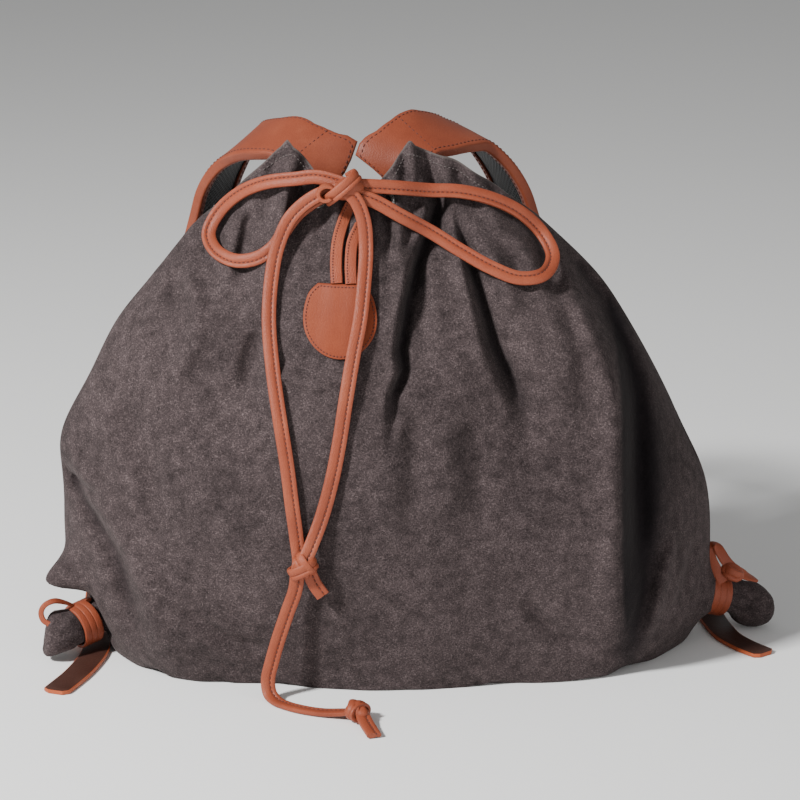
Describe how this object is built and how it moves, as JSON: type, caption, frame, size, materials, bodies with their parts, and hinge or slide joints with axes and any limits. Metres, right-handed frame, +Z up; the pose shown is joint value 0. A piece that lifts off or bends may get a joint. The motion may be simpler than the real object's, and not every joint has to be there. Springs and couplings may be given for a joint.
{
  "type": "felt drawstring rucksack with leather straps",
  "caption": "Soft felt rucksack with a gathered drawstring mouth tied in a leather bow, tied lower corners, a round front patch and padded leather shoulder straps.",
  "frame": {"origin": "on the floor under the middle of the bag's flat base", "axes": "+Z up, the patch and the bow face -Y, +X runs to the right seen from the front"},
  "size_m": [0.5656, 0.3409, 0.4024],
  "materials": {
    "felt": "thick fulled wool felt, matt",
    "leather": "tan leather, satin, stitched along its edges",
    "mesh_cloth": "black spacer mesh over padding",
    "steel": "darkened metal"
  },
  "bodies": {
    "root": {"bag_body": "felt", "back_yoke": "leather", "strap_cover_left": "leather", "strap_cover_right": "leather", "strap_pad_left": "mesh_cloth", "strap_pad_right": "mesh_cloth", "strap_end_left": "leather", "strap_end_right": "leather", "front_patch": "leather", "closing_strip_left": "leather", "closing_strip_right": "leather", "bow_knot": "leather", "drawstring_loop_left": "leather", "drawstring_loop_right": "leather", "drawstring_stub_left": "leather", "drawstring_stub_right": "leather", "drawstring_tail_left": "leather", "drawstring_tail_right": "leather", "lower_knot": "leather", "drawstring_short_end": "leather", "drawstring_long_end": "leather", "end_knot": "leather", "drawstring_tip": "leather", "eyelet_left": "steel", "eyelet_right": "steel", "corner_lace_left": "leather", "corner_lace_right": "leather", "lace_bight_left": "leather", "lace_bight_right": "leather"}
  },
  "joints": []
}
